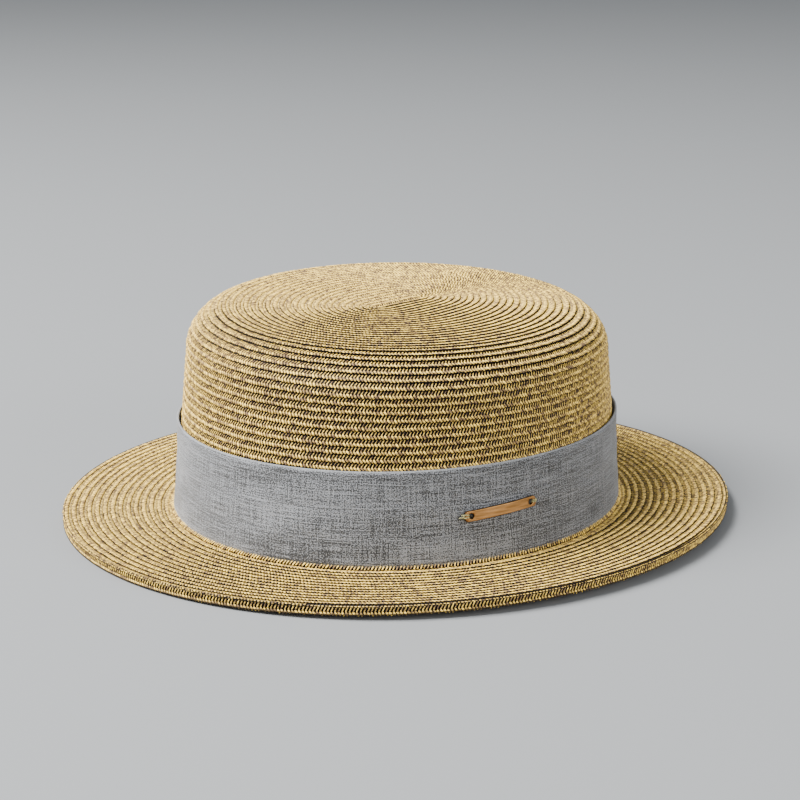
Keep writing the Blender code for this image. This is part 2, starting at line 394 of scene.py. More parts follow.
def lay_row(face, start, turns, pitch, spacing, begin=SEAM_AT, lift=ROW_LIFT, sink=0.0):
    """Stations along a row of braid that winds over a face.

    Returns the points, the way along the row, the way it faces, and the distance run. spacing
    is the distance between stations, or a function of the depth that gives it. lift is how far
    the row's outer edge is raised over one pitch, and sink how deep the row lies in the face.
    """
    count = int(abs(turns) * POINTS_PER_TURN) + 2
    share = np.linspace(0, 1, count)
    facing = begin + share * turns * math.tau
    depth = start + share * turns * pitch
    points = face(depth, facing)
    across = unit(face(depth + SMALL_STEP, facing) - face(depth - SMALL_STEP, facing))
    steps = np.linalg.norm(np.diff(points, axis=0), axis=1)
    run = np.concatenate([[0], np.cumsum(steps)])
    each = spacing((depth[1:] + depth[:-1]) / 2) if callable(spacing) else spacing
    counted = np.concatenate([[0], np.cumsum(steps / each)])
    stations = np.interp(np.arange(0, counted[-1]), counted, run)
    point, ahead, behind, across = (
        np.stack([np.interp(places, run, values[:, axis]) for axis in range(3)], -1)
        for places, values in (
            (stations, points),
            (stations + LOOK_AHEAD, points),
            (stations - LOOK_AHEAD, points),
            (stations, across),
        )
    )
    along = unit(ahead - behind)
    facing_out = unit(np.cross(across, along))
    across = np.cross(along, facing_out)
    tilt = math.atan2(lift, ROW_PITCH)
    outward = facing_out * math.cos(tilt) - across * math.sin(tilt)
    return point - facing_out * sink, along, outward, stations


def lay_ring(face, depth, turns, spacing, lift=0.0, sink=0.0):
    """Stations along a row that closes on itself, as lay_row gives them."""
    return lay_row(face, depth, turns, 0.0, spacing, lift=lift, sink=sink)


def add_numbers(mesh, label, values):
    """A number for each vertex."""
    attribute = mesh.attributes.new(label, "FLOAT", "POINT")
    attribute.data.foreach_set("value", values)


def add_vectors(mesh, label, values):
    """A vector for each vertex."""
    attribute = mesh.attributes.new(label, "FLOAT_VECTOR", "POINT")
    attribute.data.foreach_set("vector", np.array(values, np.float32).ravel())


def guide_mesh(name, row):
    """A row's stations as a chain of vertices that carries which way they face."""
    points, along, outward, run = row
    mesh = bpy.data.meshes.new(name)
    edges = [(index, index + 1) for index in range(len(points) - 1)]
    mesh.from_pydata(points.tolist(), edges, [])
    add_vectors(mesh, "along", along)
    add_vectors(mesh, "outward", outward)
    add_numbers(mesh, "travel", run.astype(np.float32))
    return mesh


def feed(tree, node, values):
    """Links or sets a node's inputs; each value is another node's socket or a plain value."""
    for label, value in values.items():
        if isinstance(value, bpy.types.NodeSocket):
            tree.links.new(value, node.inputs[label])
        else:
            node.inputs[label].default_value = value


def new_tree(name, sockets):
    """An empty Geometry Nodes tree with named inputs."""
    tree = bpy.data.node_groups.new(name, "GeometryNodeTree")
    tree.interface.new_socket("Geometry", in_out="INPUT", socket_type="NodeSocketGeometry")
    for label, kind in sockets:
        tree.interface.new_socket(label, in_out="INPUT", socket_type="NodeSocket" + kind)
    tree.interface.new_socket("Geometry", in_out="OUTPUT", socket_type="NodeSocketGeometry")
    return tree, tree.nodes.new("NodeGroupInput"), tree.nodes.new("NodeGroupOutput")


def end_tree(tree, source, result, geometry):
    """Ends a tree with real geometry that carries the material."""
    realize = tree.nodes.new("GeometryNodeRealizeInstances")
    paint = tree.nodes.new("GeometryNodeSetMaterial")
    feed(tree, realize, {"Geometry": geometry})
    feed(tree, paint, {"Geometry": realize.outputs["Geometry"], "Material": source.outputs["Material"]})
    feed(tree, result, {"Geometry": paint.outputs["Geometry"]})


def named_vector(tree, label):
    """A node that reads a vector that the mesh carries."""
    node = tree.nodes.new("GeometryNodeInputNamedAttribute")
    node.data_type = "FLOAT_VECTOR"
    feed(tree, node, {"Name": label})
    return node.outputs["Attribute"]


def braid_tree():
    """Geometry Nodes: sweeps a row's section along its stations."""
    tree, source, result = new_tree("braid_row", [("Section", "Object"), ("Material", "Material")])
    nodes = tree.nodes
    path = nodes.new("GeometryNodeMeshToCurve")
    normal = nodes.new("GeometryNodeSetCurveNormal")
    normal.mode = "FREE"
    section = nodes.new("GeometryNodeObjectInfo")
    outline = nodes.new("GeometryNodeMeshToCurve")
    sweep = nodes.new("GeometryNodeCurveToMesh")
    feed(tree, path, {"Mesh": source.outputs["Geometry"]})
    feed(tree, normal, {"Curve": path.outputs["Curve"], "Normal": named_vector(tree, "outward")})
    feed(tree, section, {"Object": source.outputs["Section"]})
    feed(tree, outline, {"Mesh": section.outputs["Geometry"]})
    feed(tree, sweep, {"Curve": normal.outputs["Curve"], "Profile Curve": outline.outputs["Curve"]})
    feed(tree, sweep, {"Fill Caps": True})
    end_tree(tree, source, result, sweep.outputs["Mesh"])
    return tree


def random_number(tree, low, high, seed):
    """A node that draws a number for each instance; low and high are sockets or numbers."""
    node = tree.nodes.new("FunctionNodeRandomValue")
    node.data_type = "FLOAT"
    feed(tree, node, {2: low, 3: high, "Seed": seed})
    return node.outputs[1]


def stitch_tree():
    """Geometry Nodes: sets one plaited stitch on each station, with small differences."""
    sockets = [("Stitch", "Object"), ("Smallest", "Float"), ("Largest", "Float")]
    tree, source, result = new_tree("straw_stitches", sockets + [("Material", "Material")])
    nodes, given = tree.nodes, source.outputs
    stitch = nodes.new("GeometryNodeObjectInfo")
    turn = nodes.new("FunctionNodeAxesToRotation")
    turn.primary_axis, turn.secondary_axis = "Z", "X"
    place = nodes.new("GeometryNodeInstanceOnPoints")
    tone = nodes.new("GeometryNodeStoreNamedAttribute")
    tone.data_type, tone.domain = "FLOAT", "INSTANCE"
    size = nodes.new("ShaderNodeCombineXYZ")
    for axis, seed in (("X", 3), ("Y", 5), ("Z", 7)):
        feed(tree, size, {axis: random_number(tree, given["Smallest"], given["Largest"], seed)})
    feed(tree, stitch, {"Object": given["Stitch"]})
    feed(tree, turn, {"Primary Axis": named_vector(tree, "outward")})
    feed(tree, turn, {"Secondary Axis": named_vector(tree, "along")})
    feed(tree, place, {"Points": given["Geometry"], "Instance": stitch.outputs["Geometry"]})
    feed(tree, place, {"Rotation": turn.outputs["Rotation"], "Scale": size.outputs["Vector"]})
    feed(tree, tone, {"Geometry": place.outputs["Instances"], "Name": "tone"})
    feed(tree, tone, {"Value": random_number(tree, 0.0, 1.0, 11)})
    end_tree(tree, source, result, tone.outputs["Geometry"])
    return tree


def grow(name, mesh, tree, values):
    """Runs a tree on a guide mesh and returns what it makes as a plain mesh."""
    guide = bpy.data.objects.new(name + "_guide", mesh)
    show(guide)
    modifier = guide.modifiers.new("Grow", "NODES")
    modifier.node_group = tree
    for item in tree.interface.items_tree:
        if item.in_out == "INPUT" and item.name in values:
            modifier[item.identifier] = values[item.name]
    bpy.context.view_layer.update()
    depsgraph = bpy.context.evaluated_depsgraph_get()
    made = bpy.data.meshes.new_from_object(guide.evaluated_get(depsgraph))
    bpy.data.objects.remove(guide, do_unlink=True)
    bpy.data.meshes.remove(mesh)
    made.name = name
    return made


def show(thing):
    """Puts an object in the scene."""
    bpy.context.scene.collection.objects.link(thing)


def add_piece(name, mesh, replaced=()):
    """A finished mesh as a piece that rides on the hat."""
    piece = bpy.data.objects.new(name, mesh)
    show(piece)
    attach(piece, "root")
    if replaced:
        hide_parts(*replaced)
    return piece


def scratch_object(name, mesh):
    """An object that only helps to make the pieces and is removed afterwards."""
    scratch = bpy.data.objects.new(name, mesh)
    show(scratch)
    scratch.hide_render = True
    return scratch


def section_object(name, bare=False):
    """The braid's section as a closed outline that knows how far across the row it is.

    A bare one has no strands on it, so its outer face shows its chevrons too.
    """
    mesh = bpy.data.meshes.new(name)
    count = len(ROW_SECTION)
    verts = [(out * MM, across * MM, 0.0) for across, out, _ in ROW_SECTION]
    mesh.from_pydata(verts, [(index, (index + 1) % count) for index in range(count)], [])
    add_numbers(mesh, "girth", [across for across, _, _ in ROW_SECTION])
    add_numbers(mesh, "cover", [0 if bare else cover for _, _, cover in ROW_SECTION])
    return scratch_object(name, mesh)


def strand_shape(start, end, width, low, highs):
    """One strand of a stitch, pointed at both ends.

    Returns its vertices, its faces, each vertex's painted shading (painted shade at the strand's sides
    and ends), and where each face's corners lie when the strand is rolled out flat.
    """
    start, end = np.array(start), np.array(end)
    way = (end - start) / np.linalg.norm(end - start)
    aside = np.array([-way[1], way[0]]) * width / 2
    verts, painted_shading, rings, flat = [], [], [], []
    for share, wide, tall, lit in STRAND_STATIONS:
        centre = start + (end - start) * share
        high = highs[0] + (highs[1] - highs[0]) * share
        rise = low + (high - low) * tall
        rings.append(len(verts))
        if wide == 0:
            verts.append((*centre, rise))
            painted_shading.append(lit)
            continue
        for side, up in STRAND_CORNERS:
            verts.append((*(centre + aside * side * wide), rise if up else low))
            painted_shading.append(lit * up)
    first, one, two, last = rings
    faces = []
    corners = len(STRAND_CORNERS)
    for step in range(corners):
        after = (step + 1) % corners
        faces.append((first, one + after, one + step))
        faces.append((one + step, one + after, two + after, two + step))
        faces.append((two + step, two + after, last))
        left, middle, right = (place / corners for place in (step, step + 0.5, step + 1))
        near, far = 0.33, 0.67
        flat.append(((middle, 0), (right, near), (left, near)))
        flat.append(((left, near), (right, near), (right, far), (left, far)))
        flat.append(((left, far), (right, far), (middle, 1)))
    return verts, faces, painted_shading, flat


def stitch_object(name, strands):
    """A plaited stitch, made of its strands, as a small mesh."""
    mesh = bpy.data.meshes.new(name)
    verts, faces, painted_shading, which, unrolled = [], [], [], [], []
    for number, strand in enumerate(strands):
        more, sides, lit, flat = strand_shape(*strand)
        which += [number] * len(more)
        for corners in flat:
            unrolled.append([((number + STRAND_SHARE * u) / len(strands), v) for u, v in corners])
        faces += [tuple(len(verts) + corner for corner in side) for side in sides]
        verts += more
        painted_shading += lit
    mesh.from_pydata([tuple(part * MM for part in vert) for vert in verts], [], faces)
    work = bmesh.new()
    work.from_mesh(mesh)
    bmesh.ops.recalc_face_normals(work, faces=work.faces)
    work.to_mesh(mesh)
    work.free()
    # Each vertex's painted shading, which darkens the strand's sides and tucked ends
    add_numbers(mesh, "painted_shading", painted_shading)
    add_numbers(mesh, "strand", which)
    layer = mesh.uv_layers.new(name=BAKE_MAP)
    for side, corners, face in zip(mesh.polygons, unrolled, faces):
        spots = dict(zip(face, corners))
        for loop in side.loop_indices:
            layer.uv[loop].vector = spots[mesh.loops[loop].vertex_index]
    mesh.shade_smooth()
    return scratch_object(name, mesh)


def spread_stitches(mesh, each):
    """Gives every stitch a cell of its own in the map that its material is baked through."""
    layer = mesh.uv_layers[BAKE_MAP]
    spots = np.empty(len(mesh.loops) * 2, np.float32)
    layer.uv.foreach_get("vector", spots)
    spots = spots.reshape(-1, each, 2)
    side = math.ceil(math.sqrt(len(spots)))
    cell = np.arange(len(spots))
    corner = np.stack([cell % side, cell // side], -1)[:, None]
    spots = (corner + CELL_MARGIN + spots * (1 - 2 * CELL_MARGIN)) / side
    layer.uv.foreach_set("vector", spots.astype(np.float32).ravel())


def spread_rows(mesh):
    """Lays a swept braid out in strips, in the map that its material is baked through.

    The sweep's vertices come ring by ring. A closing face joins a ring's last corner to its
    first, so its first corner is laid past the last one.
    """
    around = len(ROW_SECTION)
    corners = np.empty(len(mesh.loops), np.int32)
    mesh.loops.foreach_get("vertex_index", corners)
    starts = np.empty(len(mesh.polygons), np.int32)
    mesh.polygons.foreach_get("loop_start", starts)
    face = np.repeat(np.arange(len(starts)), np.diff(starts, append=len(corners)))
    ring, place = corners // around, corners % around
    first = np.minimum.reduceat(ring, starts)
    closing = np.minimum.reduceat(place, starts) + around == np.maximum.reduceat(place, starts) + 1
    rings = len(mesh.vertices) / around
    strips = math.ceil(math.sqrt(rings * STRIP_SHAPE))
    length = math.ceil(rings / strips)
    strip = (first // length)[face]
    place = np.where(closing[face] & (place == 0), around, place)
    across = (strip + STRIP_MARGIN + (1 - 2 * STRIP_MARGIN) * place / around) / strips
    spots = np.stack([(ring - strip * length) / length, across], -1)
    layer = mesh.uv_layers.new(name=BAKE_MAP)
    layer.uv.foreach_set("vector", spots.astype(np.float32).ravel())


def principled(name):
    """A new material with its shader and its node tree."""
    material = bpy.data.materials.new(name)
    material.use_nodes = True
    return material, material.node_tree, material.node_tree.nodes["Principled BSDF"]


def noise(tree, vector, scale, detail=2.0):
    """A noise's value, read at a vector."""
    node = tree.nodes.new("ShaderNodeTexNoise")
    feed(tree, node, {"Vector": vector, "Scale": scale, "Detail": detail})
    return node.outputs["Fac"]


def object_place(tree):
    """The hat's own coordinates."""
    return tree.nodes.new("ShaderNodeTexCoord").outputs["Object"]


def map_range(tree, value, low, high, to_low=0.0, to_high=1.0):
    """A value stretched from one range to another, and held inside it."""
    node = tree.nodes.new("ShaderNodeMapRange")
    feed(tree, node, {"Value": value, "From Min": low, "From Max": high})
    feed(tree, node, {"To Min": to_low, "To Max": to_high})
    return node.outputs["Result"]


def mix_colour(tree, factor, one, two):
    """Two colours mixed by a factor; each is a socket or a colour."""
    node = tree.nodes.new("ShaderNodeMix")
    node.data_type = "RGBA"
    feed(tree, node, {"Factor": factor, 6: one, 7: two})
    return node.outputs[2]


def new_group(name, inputs, outputs):
    """An empty shader group with named inputs and outputs."""
    group = bpy.data.node_groups.new(name, "ShaderNodeTree")
    for way, sockets in (("INPUT", inputs), ("OUTPUT", outputs)):
        for label, kind in sockets:
            group.interface.new_socket(label, in_out=way, socket_type="NodeSocket" + kind)
    return group, group.nodes.new("NodeGroupInput"), group.nodes.new("NodeGroupOutput")


def straw_group():
    """Shader group: straw's colour and grain, from a strand's tone and how open to light it is."""
    inputs = [("Tone", "Float"), ("Open", "Float")]
    inputs += [(label, "Color") for label in STRAW_COLOURS]
    outputs = [("Color", "Color"), ("Roughness", "Float"), ("Grain", "Float")]
    group, source, result = new_group("straw_look", inputs, outputs)
    place = object_place(group)
    cloudy = noise(group, place, STRAW_CLOUDS, 3.0)
    speck = noise(group, place, STRAW_FLECKS, 3.0)
    rusty = noise(group, place, STRAW_RUST, 3.0)
    tone = blend(group, source.outputs["Tone"], 0.8, cloudy)
    tone = blend(group, map_range(group, speck, 0.38, 0.62), 0.5, tone)
    lightness = map_range(group, tone, 0.25, 0.8)
    body = mix_colour(group, lightness, source.outputs["Middle"], source.outputs["Light"])
    patches = map_range(group, rusty, 0.6, 0.8, 0.0, 0.3)
    body = mix_colour(group, patches, body, source.outputs["Rust"])
    # Painted shade: the Shade colour is mixed in where the straw is less open to light
    colour = mix_colour(group, source.outputs["Open"], source.outputs["Shade"], body)
    feed(group, result, {"Color": colour, "Roughness": roughness(group, speck, 0.6, 0.4), "Grain": speck})
    return group


def place_straw_group(tree, group, colours=STRAW_COLOURS):
    """The straw group in a material, with the straw's colours."""
    node = tree.nodes.new("ShaderNodeGroup")
    node.node_tree = group
    feed(tree, node, colours)
    return node


def roughness(tree, value, low, high):
    """A roughness that follows a noise, given where the noise is low and where it is high."""
    return map_range(tree, value, *NOISE_SPREAD, low, high)


def add_bump(tree, shader, height, size):
    """Bump from a height into the shader's normal; size is its strength and depth."""
    bump = tree.nodes.new("ShaderNodeBump")
    strength, depth = size
    feed(tree, bump, {"Height": height, "Strength": strength, "Distance": depth})
    feed(tree, shader, {"Normal": bump.outputs["Normal"]})


def math_node(tree, operation, *values):
    """A Math node; values are sockets or numbers."""
    node = tree.nodes.new("ShaderNodeMath")
    node.operation = operation
    feed(tree, node, dict(enumerate(values)))
    return node.outputs[0]


def blend(tree, one, share, two):
    """A share of one value and the rest of another."""
    return math_node(tree, "MULTIPLY_ADD", one, share, math_node(tree, "MULTIPLY", two, 1 - share))


def read_attribute(tree, label, output="Fac"):
    """What the mesh carries under a name."""
    node = tree.nodes.new("ShaderNodeAttribute")
    node.attribute_name = label
    return node.outputs[output]


def paint_straw(tree, shader, straw, tone, open_share, colour=None):
    """Joins the straw group to a shader, through a colour made from it where one is given."""
    feed(tree, straw, {"Tone": tone, "Open": open_share})
    shown = colour or straw.outputs["Color"]
    feed(tree, shader, {"Base Color": shown, "Roughness": straw.outputs["Roughness"]})


def strand_material(group):
    """Straw strands, with painted shade at their sides and where they dive into the braid."""
    material, tree, shader = principled("straw_strands")
    straw = place_straw_group(tree, group)
    # Painted shade: the strands' sides and tucked ends are darkened towards the Shade colour
    open_share = map_range(tree, read_attribute(tree, "painted_shading"), 0.5, 0.9)
    feed(tree, shader, {"Specular IOR Level": STRAND_GLOSS})
    strand, stitch_tone = read_attribute(tree, "strand"), read_attribute(tree, "tone")
    own = math_node(tree, "MULTIPLY_ADD", strand, 0.37, stitch_tone)
    paint_straw(tree, shader, straw, math_node(tree, "FRACT", own), open_share)
    add_bump(tree, shader, straw.outputs["Grain"], STRAND_BUMP)
    return material


def braid_material(group):
    """The braid under the strands: painted shade where they cover it and where it is tucked under the row
    before, with chevrons where it is bare, their grooves in painted shade.
    """
    material, tree, shader = principled("straw_braid")
    feed(tree, shader, {"Specular IOR Level": BRAID_GLOSS})
    # The braid takes the inner face's lighter, paler colours, painted light for its dim light
    straw = place_straw_group(tree, group, INSIDE_PAINTED_LIGHT_COLOURS)
    travel = math_node(tree, "DIVIDE", read_attribute(tree, "travel"), STITCH)
    girth = read_attribute(tree, "girth")
    slant = math_node(tree, "ABSOLUTE", math_node(tree, "SUBTRACT", girth, CHEVRON_MIDDLE))
    phase = math_node(tree, "SUBTRACT", travel, math_node(tree, "MULTIPLY", slant, CHEVRON_LEAN))
    wave = math_node(tree, "SINE", math_node(tree, "MULTIPLY", phase, math.tau))
    wave = math_node(tree, "MULTIPLY_ADD", wave, 0.5, 0.5)
    tone = math_node(tree, "FRACT", math_node(tree, "MULTIPLY", math_node(tree, "FLOOR", phase), 0.618))
    # Painted shade: covered parts, the edge tucked under the row before, and the chevrons' grooves darken
    # towards the Shade colour
    bare = map_range(tree, read_attribute(tree, "cover"), 0.6, 0.2)
    edge = map_range(tree, girth, -2.2, -1.6)
    open_share = math_node(tree, "MULTIPLY", math_node(tree, "MULTIPLY_ADD", wave, 0.75, 0.25), edge)
    shown = mix_colour(tree, bare, STRAW_COLOURS["Shade"], straw.outputs["Color"])
    paint_straw(tree, shader, straw, tone, open_share, shown)
    add_bump(tree, shader, wave, BRAID_BUMP)
    return material


def tip_step(depth):
    """The distance between stations: short at the tip's middle, where the rows turn sharply."""
    step = BRAID_STEP_TIP + (depth - BRAID_STEP_GROWS_FROM) * BRAID_STEP_GROWTH
    return np.clip(step, BRAID_STEP_TIP, BRAID_STEP)


def join_meshes(name, meshes):
    """Several meshes as one."""
    work = bmesh.new()
    for mesh in meshes:
        work.from_mesh(mesh)
    joined = bpy.data.meshes.new(name)
    work.to_mesh(joined)
    work.free()
    joined.materials.append(meshes[0].materials[0])
    for mesh in meshes:
        bpy.data.meshes.remove(mesh)
    return joined


def make_braid(name, rows, kit, replaced, outline="section"):
    """Rows of braid swept along their stations, as one piece."""
    values = {"Section": kit[outline], "Material": kit["braid"]}
    meshes = [grow(name, guide_mesh(name, row), kit["sweep"], values) for row in rows]
    mesh = join_meshes(name, meshes) if len(meshes) > 1 else meshes[0]
    mesh.name = name
    spread_rows(mesh)
    mesh.shade_smooth()
    add_piece(name, mesh, [replaced])


def make_strands(name, row, kit, kind):
    """The plaited stitches of a row, as one piece."""
    stitch = kit["stitches"][kind]
    smallest, largest = STITCH_SIZES
    values = {"Stitch": stitch, "Smallest": smallest, "Largest": largest, "Material": kit["strands"]}
    mesh = grow(name, guide_mesh(name, row), kit["plait"], values)
    spread_stitches(mesh, len(stitch.data.loops))
    mesh.shade_smooth()
    add_piece(name, mesh)


def cut_row(row, parts):
    """A row's stations in equal stretches."""
    ends = np.linspace(0, len(row[0]), parts + 1).astype(int)
    return [tuple(values[first:last] for values in row) for first, last in zip(ends, ends[1:])]


def make_crown(kit):
    """The crown's spiral of braid, from the middle of the tip to the brim."""
    turns = (CROWN_DEPTH - ROW_PITCH / 2) / ROW_PITCH
    shown = (CROWN_DEPTH - BAND_TOP + UNDER_BAND) / ROW_PITCH
    row = lay_row(crown_face, SPIRAL_START, turns, ROW_PITCH, tip_step, START_FACING)
    make_braid("crown_braid", [row], kit, "crown")
    row = lay_row(crown_face, SPIRAL_START, shown, ROW_PITCH, STITCH, START_FACING)
    names = ("crown_tip_straw", "crown_shoulder_straw", "crown_side_straw")
    for name, part, kind in zip(names, cut_row(row, 3), ("tip", "side", "side")):
        make_strands(name, part, kit, kind)


def make_brim(kit):
    """The brim's spiral of braid, and the row in the bend between the brim and the crown."""
    first, last = BRIM_FIRST_ROW_AT, BRIM_LAST_ROW_AT
    turns = (last - first) / ROW_PITCH
    rows = [
        lay_row(brim_face, first, turns, ROW_PITCH, BRAID_STEP, lift=BRIM_ROW_LIFT),
        lay_ring(foot_face, FOOT_ROW_AT, RING_TURNS, BRAID_STEP),
        lay_ring(brim_face, first, BRIM_RING_TURNS, BRAID_STEP, BRIM_ROW_LIFT, RING_SINK),
        lay_ring(brim_face, last, BRIM_RING_TURNS, BRAID_STEP, BRIM_ROW_LIFT, RING_SINK),
    ]
    make_braid("brim_braid", rows, kit, "brim")
    row = lay_row(brim_face, first, turns, ROW_PITCH, STITCH, lift=BRIM_ROW_LIFT)
    for name, part in zip(("brim_inner_straw", "brim_outer_straw"), cut_row(row, 2)):
        make_strands(name, part, kit, "brim")
    for name, depth in (("brim_first_straw", first), ("brim_last_straw", last)):
        row = lay_ring(brim_face, depth, 1.0, STITCH, BRIM_ROW_LIFT, RING_SINK)
        make_strands(name, row, kit, "brim")
    make_strands("foot_straw", lay_ring(foot_face, FOOT_ROW_AT, 1.0, STITCH), kit, "foot")


def make_edge(kit):
    """The row turned down round the brim's edge, and the rows under it."""
    wall = [lay_ring(edge_face, EDGE_ROW_AT, RING_TURNS, BRAID_STEP, sink=RING_SINK)]
    make_braid("edge_braid", wall, kit, "brim_edge")
    lips = [lay_ring(lip_face, depth, RING_TURNS, BRAID_STEP, sink=LIP_SINK) for depth in LIP_ROWS_AT]
    make_braid("lip_braid", lips, kit, "brim_edge", "bare_section")
    row = lay_ring(edge_face, EDGE_ROW_AT, 1.0, STITCH, sink=RING_SINK)
    make_strands("edge_straw", row, kit, "edge")


def make_straw():
    """Every piece of braid, with its strands."""
    group = straw_group()
    stitches = {kind: stitch_object(kind + "_stitch", strands) for kind, strands in STITCHES.items()}
    kit = {
        "braid": braid_material(group),
        "strands": strand_material(group),
        "section": section_object("row_section"),
        "bare_section": section_object("bare_section", bare=True),
        "stitches": stitches,
        "sweep": braid_tree(),
        "plait": stitch_tree(),
    }
    make_crown(kit)
    make_brim(kit)
    make_edge(kit)
    for scratch in (kit["section"], kit["bare_section"], *stitches.values()):
        bpy.data.objects.remove(scratch, do_unlink=True)


def band_offset(share, facing):
    """How far the band's outer face stands off the crown, by the share of its height.

    The band has a hem along its top, stands off there at two opposite sides, and has slight
    creases that drift up and down round it.
    """
    height = BAND_TOP - BAND_FOOT
    rise = share * height
    hem = BAND_HEM_PROUD * np.exp(-(((height - rise - BAND_HEM / 2) / (BAND_HEM / 2)) ** 4))
    flare = BAND_FLARE * share**3 * np.abs(np.cos(facing - BAND_FLARE_AT)) ** 3
    drift = 0.5 * np.sin(2 * facing + 1.0) + 0.3 * np.sin(5 * facing) + 0.15 * np.sin(11 * facing + 2.0)
    crease = BAND_CREASE * np.sin(math.tau * (BAND_CREASES * share + drift)) * np.sin(math.pi * share)
    slack = BAND_SLACK * np.sin(3 * facing + 0.7) * share * (1 - share) * 4
    return BAND_GAP + BAND_WALL + hem + flare + crease + slack


def band_mesh():
    """The band as a thin closed strip with rolled edges, and the length of its middle line."""
    facing = np.arange(BAND_COLUMNS) / BAND_COLUMNS * math.tau
    shares = np.linspace(0, 1, BAND_ROWS)
    loop = [(share, 1.0) for share in shares] + [(1 + BAND_ROLL, 0.5)]
    loop += [(share, 0.0) for share in shares[::-BAND_INNER_STEP]] + [(-BAND_ROLL, 0.5)]
    verts, weave = [], []
    x, y = oval(side_radius(0.5 * (BAND_FOOT + BAND_TOP)), facing)
    steps = np.hypot(np.diff(x, append=x[0]), np.diff(y, append=y[0]))
    travel = np.concatenate([[0], np.cumsum(steps)[:-1]])
    for share, outer in loop:
        rise = BAND_FOOT + share * (BAND_TOP - BAND_FOOT)
        off = band_offset(min(max(share, 0), 1), facing) - (1 - outer) * BAND_WALL
        x, y = oval(side_radius(rise) + off, facing)
        verts += np.stack([x, y, np.full_like(x, rise + BRIM_TOP)], -1).tolist()
        weave += np.stack([travel, np.full_like(x, rise), np.full_like(x, outer)], -1).tolist()
    faces = []
    for ring in range(len(loop)):
        here, after = ring * BAND_COLUMNS, (ring + 1) % len(loop) * BAND_COLUMNS
        for step in range(BAND_COLUMNS):
            further = (step + 1) % BAND_COLUMNS
            faces.append((here + step, here + further, after + further, after + step))
    mesh = bpy.data.meshes.new("band_cloth")
    mesh.from_pydata(verts, [], faces)
    add_vectors(mesh, "weave", weave)
    mesh.shade_smooth()
    return mesh, float(steps.sum())


def scaled(tree, vector, scales):
    """A vector scaled unevenly, so that a noise read at it is drawn out."""
    node = tree.nodes.new("ShaderNodeVectorMath")
    node.operation = "MULTIPLY"
    feed(tree, node, {0: vector, 1: scales})
    return node.outputs[0]


def cloth_material():
    """Grey plain weave with thick and thin threads both ways, paler along its folded edges."""
    material, tree, shader = principled("grey_weave")
    place = read_attribute(tree, "weave", "Vector")
    weft = noise(tree, scaled(tree, place, CLOTH_WEFT), 1.0, 1.0)
    warp = noise(tree, scaled(tree, place, CLOTH_WARP), 1.0, 1.0)
    salt = noise(tree, place, CLOTH_SALT, 1.0)
    cloud = noise(tree, scaled(tree, place, CLOTH_CLOUDS), 1.0, 2.0)
    threads = blend(tree, weft, 0.58, warp)
    threads = blend(tree, salt, 0.55, threads)
    share = map_range(tree, blend(tree, cloud, 0.15, threads), 0.461, 0.557)
    colour = mix_colour(tree, share, CLOTH_DARK, CLOTH_LIGHT)
    up = tree.nodes.new("ShaderNodeSeparateXYZ")
    feed(tree, up, {0: place})
    top = map_range(tree, up.outputs["Y"], BAND_TOP - 0.5 * MM, BAND_TOP - 0.2 * MM, 0.0, 0.5)
    foot = map_range(tree, up.outputs["Y"], BAND_FOOT + 0.5 * MM, BAND_FOOT + 0.2 * MM, 0.0, 0.4)
    colour = mix_colour(tree, math_node(tree, "MAXIMUM", top, foot), colour, CLOTH_FOLD)
    feed(tree, shader, {"Base Color": colour, "Roughness": roughness(tree, salt, 0.95, 0.75)})
    feed(tree, shader, CLOTH_SHEEN)
    add_bump(tree, shader, threads, CLOTH_BUMP)
    return material


def make_band():
    """The cloth band round the foot of the crown."""
    mesh, length = band_mesh()
    mesh.materials.append(cloth_material())
    piece = add_piece("band_cloth", mesh, ["hat_band"])


def new_curve(name, dimensions, bevel):
    """An empty curve with a rounded edge."""
    curve = bpy.data.curves.new(name, "CURVE")
    curve.dimensions = dimensions
    curve.bevel_depth = bevel
    curve.bevel_resolution = BEVEL_STEPS
    return curve


def add_spline(curve, kind, points):
    """A run of points in a curve."""
    spline = curve.splines.new(kind)
    spline.points.add(len(points) - 1)
    for point, place in zip(spline.points, points):
        point.co = (*place, 1)
    return spline


def curve_mesh(name, curve):
    """A curve's tube or plate as a plain mesh with no material."""
    outline = scratch_object(name + "_outline", curve)
    depsgraph = bpy.context.evaluated_depsgraph_get()
    mesh = bpy.data.meshes.new_from_object(outline.evaluated_get(depsgraph))
    bpy.data.objects.remove(outline, do_unlink=True)
    mesh.name = name
    mesh.materials.clear()
    return mesh


def round_point(x, y, radius, angle):
    """A point on a level circle round another point."""
    return x + radius * math.cos(angle), y + radius * math.sin(angle), 0


def bar_plate():
    """The bar before it is bent: a flat plate with round corners, two holes and a bevel."""
    curve = new_curve("bar_outline", "2D", BAR_BEVEL)
    curve.fill_mode = "BOTH"
    curve.extrude = BAR_WALL / 2 - BAR_BEVEL
    curve.offset = -BAR_BEVEL
    outline = []
    across, up = BAR_LENGTH / 2 - BAR_CORNER, BAR_HEIGHT / 2 - BAR_CORNER
    for quarter, (side, level) in enumerate(((1, 1), (-1, 1), (-1, -1), (1, -1))):
        for step in range(CORNER_STEPS + 1):
            angle = (quarter + step / CORNER_STEPS) * math.pi / 2
            outline.append(round_point(side * across, level * up, BAR_CORNER, angle))
    rings = [outline]
    for side in (-1, 1):
        centre = side * (BAR_LENGTH / 2 - BAR_HOLE_INSET)
        angles = [step / HOLE_STEPS * math.tau for step in range(HOLE_STEPS)]
        rings.append([round_point(centre, 0.0, BAR_HOLE_RADIUS, angle) for angle in angles])
    for ring in rings:
        add_spline(curve, "POLY", ring).use_cyclic_u = True
    return curve_mesh("bar_metal", curve)


